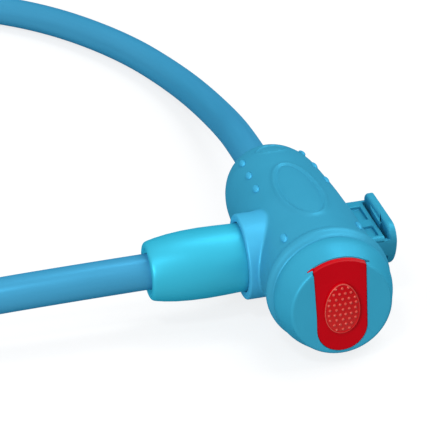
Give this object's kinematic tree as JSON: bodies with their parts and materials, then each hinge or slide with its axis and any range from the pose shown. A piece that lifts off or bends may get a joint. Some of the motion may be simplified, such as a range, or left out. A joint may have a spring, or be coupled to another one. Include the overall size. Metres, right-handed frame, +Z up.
{
  "type": "cable lock",
  "caption": "Blue key-operated bicycle cable lock: dotted soft-skinned head with a red sliding dust cover, side socket, frame foot and a sleeved steel cable loop.",
  "frame": {"origin": "on the ground under the middle of the lock head, whose lowest point touches the ground", "axes": "+Z up; +Y along the head from the keyhole to the cable's fixed end; +X from the head to its foot"},
  "size_m": [0.2628, 0.348, 0.0417],
  "materials": {
    "skin_soft": "satin moulded soft skin",
    "shell_plastic": "moulded plastic",
    "cap_plastic": "satin moulded plastic",
    "cover_plastic": "satin moulded plastic",
    "boot_plastic": "glossy moulded plastic",
    "sleeve_plastic": "glossy extruded sleeve",
    "strand_steel": "galvanised wire strand",
    "bright_steel": "nickel plated, polished",
    "spring_steel": "drawn wire and strip",
    "lock_brass": "machined",
    "zinc_casting": "cast zinc, bare",
    "seal_rubber": "soft black rubber",
    "screw_steel": "zinc plated"
  },
  "bodies": {
    "lock_body": {"soft_cover": "skin_soft", "housing": "shell_plastic", "front_cap": "cap_plastic", "mounting_foot": "cap_plastic", "cable_sleeve": "sleeve_plastic", "cable_core": "strand_steel", "lock_barrel": "lock_brass", "latch_guide": "zinc_casting", "latch_spring": "spring_steel", "socket_liner": "bright_steel", "mouth_seal": "seal_rubber", "body_ferrule": "screw_steel", "ferrule_pin": "screw_steel", "rear_gland": "seal_rubber", "cover_spring": "spring_steel", "cap_seal": "seal_rubber", "barrel_screws": "screw_steel", "foot_screws": "screw_steel"},
    "dust_cover": {"dust_cover": "cover_plastic"},
    "plug": {"key_plug": "lock_brass", "wafers": "lock_brass", "wafer_springs": "spring_steel", "plug_clip": "spring_steel", "plug_cam": "zinc_casting"},
    "latch": {"latch_bolt": "bright_steel"},
    "connector": {"connector_pin": "bright_steel", "connector_ferrule": "screw_steel", "connector_boot": "boot_plastic"}
  },
  "joints": [
    {"name": "cover_slide", "type": "slide", "parent": "lock_body", "child": "dust_cover", "axis": [0, 0, 1], "range_m": [0, 0.02]},
    {"name": "key_turn", "type": "hinge", "parent": "lock_body", "child": "plug", "pos_m": [-0.00265, -0.0318, 0.02085], "axis": [0, 1, 0], "range_deg": [0, 90]},
    {"name": "latch_travel", "type": "slide", "parent": "lock_body", "child": "latch", "axis": [0, 0, -1], "range_m": [0, 0.0024], "deforming": ["latch_spring"]},
    {"name": "connector_pull", "type": "slide", "parent": "lock_body", "child": "connector", "axis": [-1, 0, 0], "range_m": [0, 0.035], "deforming": ["cable_sleeve", "cable_core"]}
  ],
  "couplings": [
    {"joint": "latch_travel", "follows": "key_turn", "m_per_rad": 0.001527}
  ]
}
